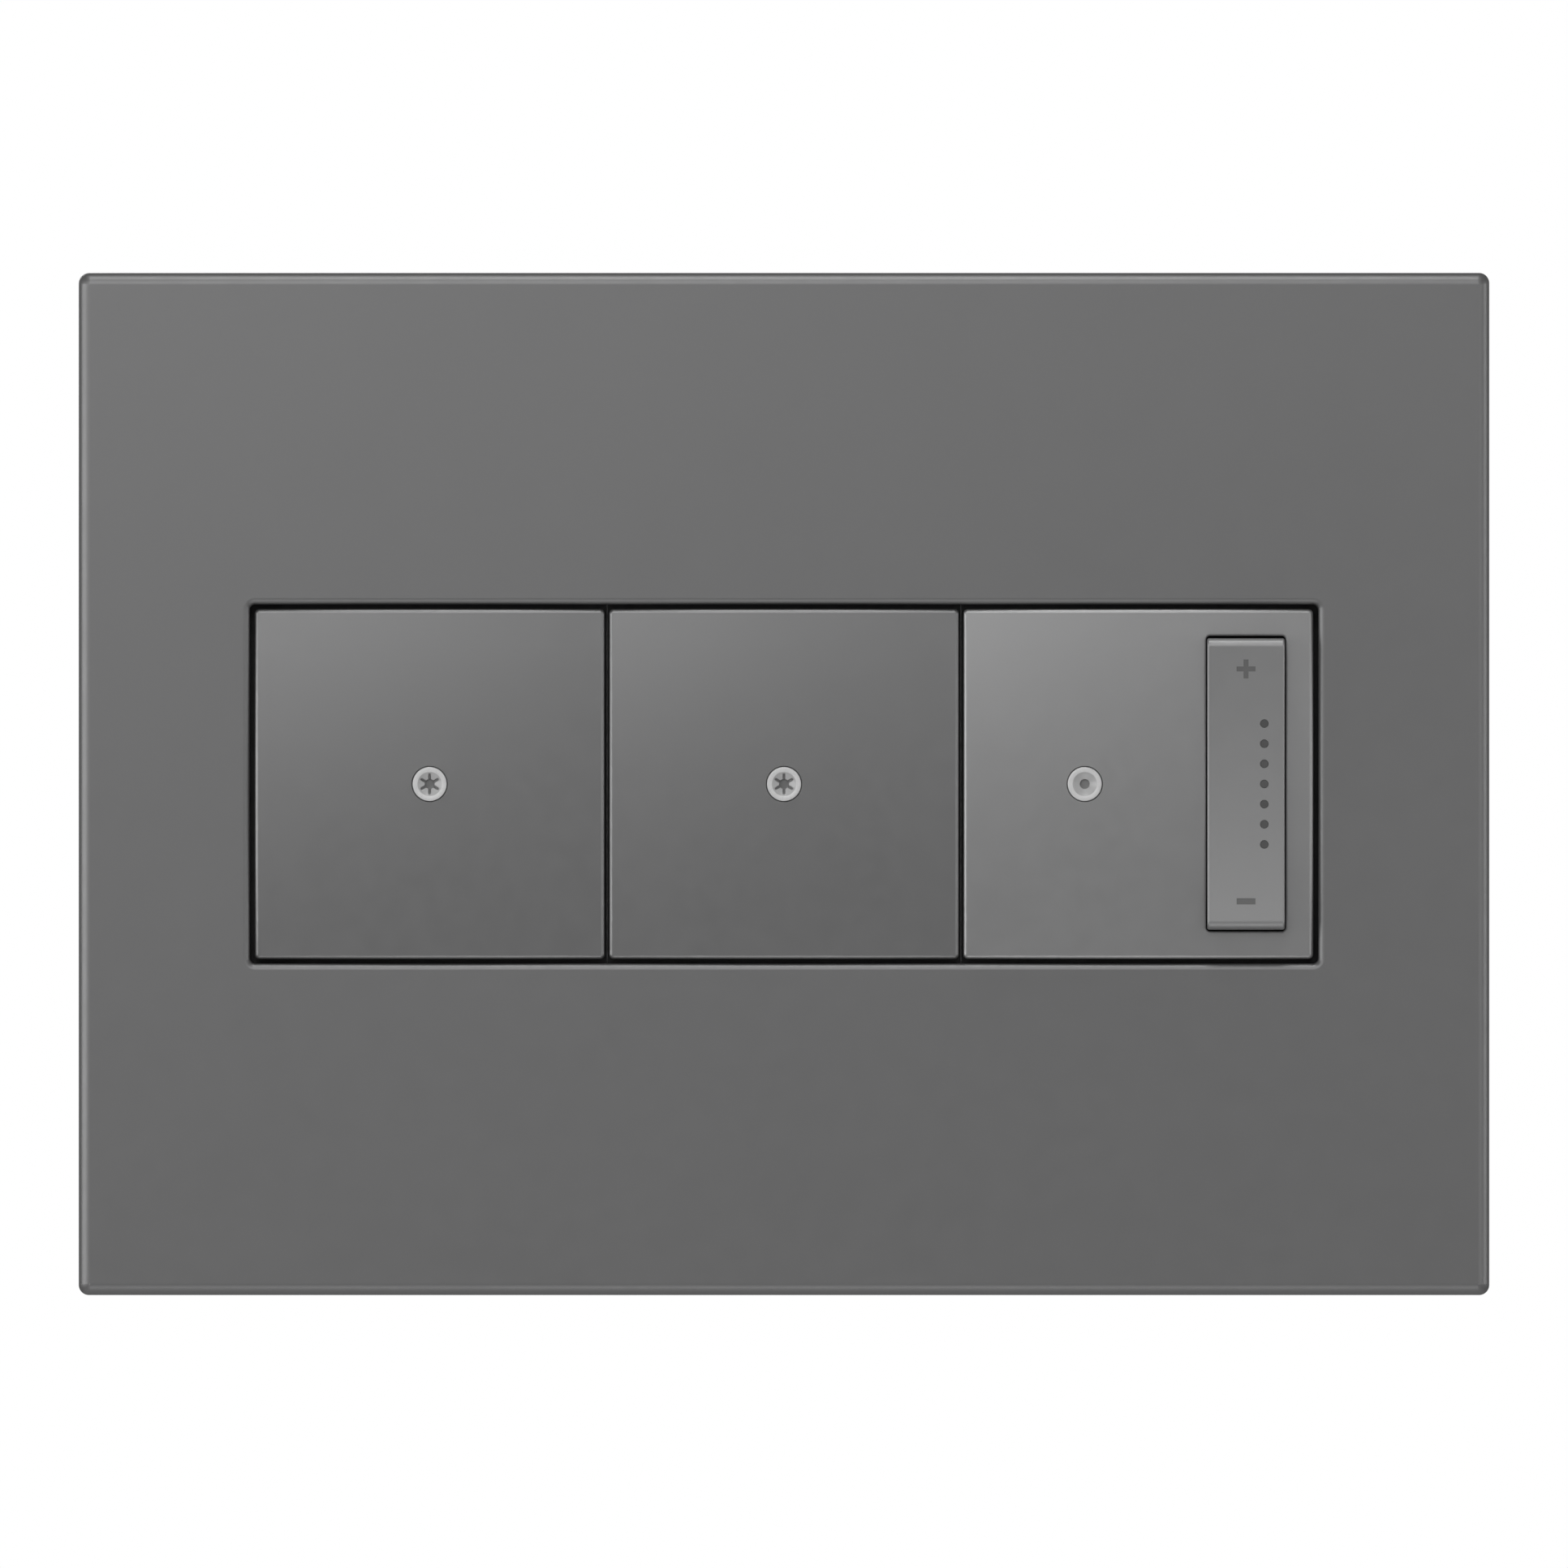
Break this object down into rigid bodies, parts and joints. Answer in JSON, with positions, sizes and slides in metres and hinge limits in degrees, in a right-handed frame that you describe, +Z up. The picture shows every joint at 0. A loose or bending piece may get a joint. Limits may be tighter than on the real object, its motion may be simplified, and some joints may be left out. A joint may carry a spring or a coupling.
{
  "type": "wall dimmer and switch set",
  "caption": "Screwless rectangular wall plate holding square press-anywhere switches and a tap dimmer, each with a ring light, a rocking level bar and side-wired rear housings.",
  "frame": {"origin": "centre of the wall plane that the cover plate's rim lies on, midway between the box screws", "axes": "+Y into the wall, +X to the right and +Z up as seen from the room"},
  "size_m": [0.1798, 0.0432, 0.1304],
  "materials": {
    "plate_plastic": "satin painted grey",
    "face_plastic": "satin painted grey",
    "lens_plastic": "translucent white, satin",
    "symbol_ink": "matte dark grey",
    "level_lens_plastic": "smoked translucent",
    "frame_steel": "zinc plated",
    "screw_steel": "zinc plated",
    "front_frame_plastic": "fine matte black",
    "housing_plastic": "fine matte dark grey",
    "terminal_brass": "plain",
    "terminal_screw_brass": "plain",
    "ground_screw_green": "green dyed zinc",
    "arm_copper": "phosphor bronze",
    "pin_steel": "bright",
    "spring_steel": "bright",
    "plunger_plastic": "natural acetal",
    "board_green": "solder mask",
    "led_white": "clear over yellow phosphor",
    "dome_rubber": "silicone",
    "chip_black": "moulded",
    "sink_aluminium": "mill finish",
    "capacitor_yellow": "moulded case",
    "core_grey": "coated powdered iron",
    "winding_copper": "enamelled copper"
  },
  "bodies": {
    "wall_control": {"box_screws": "screw_steel", "dimmer_choke_core": "core_grey", "dimmer_choke_winding": "winding_copper", "dimmer_circuit_board": "board_green", "dimmer_controller_chip": "chip_black", "dimmer_film_capacitor": "capacitor_yellow", "dimmer_front_frame": "front_frame_plastic", "dimmer_ground_screw": "ground_screw_green", "dimmer_heat_sink": "sink_aluminium", "dimmer_housing_screws": "screw_steel", "dimmer_level_domes": "dome_rubber", "dimmer_level_leds": "led_white", "dimmer_level_pin": "pin_steel", "dimmer_paddle_dome": "dome_rubber", "dimmer_rear_housing": "housing_plastic", "dimmer_ring_led": "led_white", "dimmer_terminal_screws": "terminal_screw_brass", "dimmer_terminals": "terminal_brass", "dimmer_triac": "chip_black", "dimmer_triac_screw": "screw_steel", "mounting_frame": "frame_steel", "switch_1_arm_pin": "pin_steel", "switch_1_common_terminal": "terminal_brass", "switch_1_front_frame": "front_frame_plastic", "switch_1_ground_screw": "ground_screw_green", "switch_1_ground_terminal": "terminal_brass", "switch_1_housing_screws": "screw_steel", "switch_1_locator_board": "board_green", "switch_1_locator_led": "led_white", "switch_1_rear_housing": "housing_plastic", "switch_1_return_spring": "spring_steel", "switch_1_terminal_screws": "terminal_screw_brass", "switch_1_traveller_terminals": "terminal_brass", "switch_2_arm_pin": "pin_steel", "switch_2_common_terminal": "terminal_brass", "switch_2_front_frame": "front_frame_plastic", "switch_2_ground_screw": "ground_screw_green", "switch_2_ground_terminal": "terminal_brass", "switch_2_housing_screws": "screw_steel", "switch_2_locator_board": "board_green", "switch_2_locator_led": "led_white", "switch_2_rear_housing": "housing_plastic", "switch_2_return_spring": "spring_steel", "switch_2_terminal_screws": "terminal_screw_brass", "switch_2_traveller_terminals": "terminal_brass", "wall_plate": "plate_plastic"},
    "dimmer_paddle": {"dimmer_paddle": "face_plastic", "dimmer_ring_lens": "lens_plastic"},
    "dimmer_level_bar": {"dimmer_level_bar": "face_plastic", "dimmer_level_symbols": "symbol_ink", "dimmer_level_light_pipe": "level_lens_plastic"},
    "switch_1_paddle": {"switch_1_paddle": "face_plastic", "switch_1_ring_lens": "lens_plastic"},
    "switch_1_plunger": {"switch_1_plunger": "plunger_plastic"},
    "switch_1_contact_arm": {"switch_1_contact_arm": "arm_copper"},
    "switch_2_paddle": {"switch_2_paddle": "face_plastic", "switch_2_ring_lens": "lens_plastic"},
    "switch_2_plunger": {"switch_2_plunger": "plunger_plastic"},
    "switch_2_contact_arm": {"switch_2_contact_arm": "arm_copper"}
  },
  "joints": [
    {"name": "switch_1_paddle_press", "type": "hinge", "parent": "wall_control", "child": "switch_1_paddle", "pos_m": [-0.04515, -0.0039, 0.018], "axis": [1, 0, 0], "range_deg": [0, 2.3], "stiffness_Nm_per_rad": 0.8, "springref_deg": -2.86},
    {"name": "switch_2_paddle_press", "type": "hinge", "parent": "wall_control", "child": "switch_2_paddle", "pos_m": [0, -0.0039, 0.018], "axis": [1, 0, 0], "range_deg": [0, 2.3], "stiffness_Nm_per_rad": 0.8, "springref_deg": -2.86},
    {"name": "dimmer_paddle_press", "type": "hinge", "parent": "wall_control", "child": "dimmer_paddle", "pos_m": [0.04515, -0.0039, 0.018], "axis": [1, 0, 0], "range_deg": [0, 2.3], "stiffness_Nm_per_rad": 0.8, "springref_deg": -2.86, "deforming": ["dimmer_paddle_dome"]},
    {"name": "switch_1_plunger_slide", "type": "slide", "parent": "wall_control", "child": "switch_1_plunger", "axis": [0, 1, 0], "range_m": [0, 0.0013], "deforming": ["switch_1_return_spring"]},
    {"name": "switch_1_contact_rock", "type": "hinge", "parent": "wall_control", "child": "switch_1_contact_arm", "pos_m": [-0.04515, 0.018, 0], "axis": [1, 0, 0], "range_deg": [0, 8]},
    {"name": "switch_2_plunger_slide", "type": "slide", "parent": "wall_control", "child": "switch_2_plunger", "axis": [0, 1, 0], "range_m": [0, 0.0013], "deforming": ["switch_2_return_spring"]},
    {"name": "switch_2_contact_rock", "type": "hinge", "parent": "wall_control", "child": "switch_2_contact_arm", "pos_m": [0, 0.018, 0], "axis": [1, 0, 0], "range_deg": [0, 8]},
    {"name": "dimmer_level_rock", "type": "hinge", "parent": "wall_control", "child": "dimmer_level_bar", "pos_m": [0.05885, -0.0036, 0], "axis": [1, 0, 0], "range_deg": [-1.5, 1.5], "stiffness_Nm_per_rad": 0.3, "deforming": ["dimmer_level_domes"]}
  ],
  "couplings": [
    {"joint": "switch_1_plunger_slide", "follows": "switch_1_paddle_press", "m_per_rad": 0.032},
    {"joint": "switch_2_plunger_slide", "follows": "switch_2_paddle_press", "m_per_rad": 0.032}
  ]
}
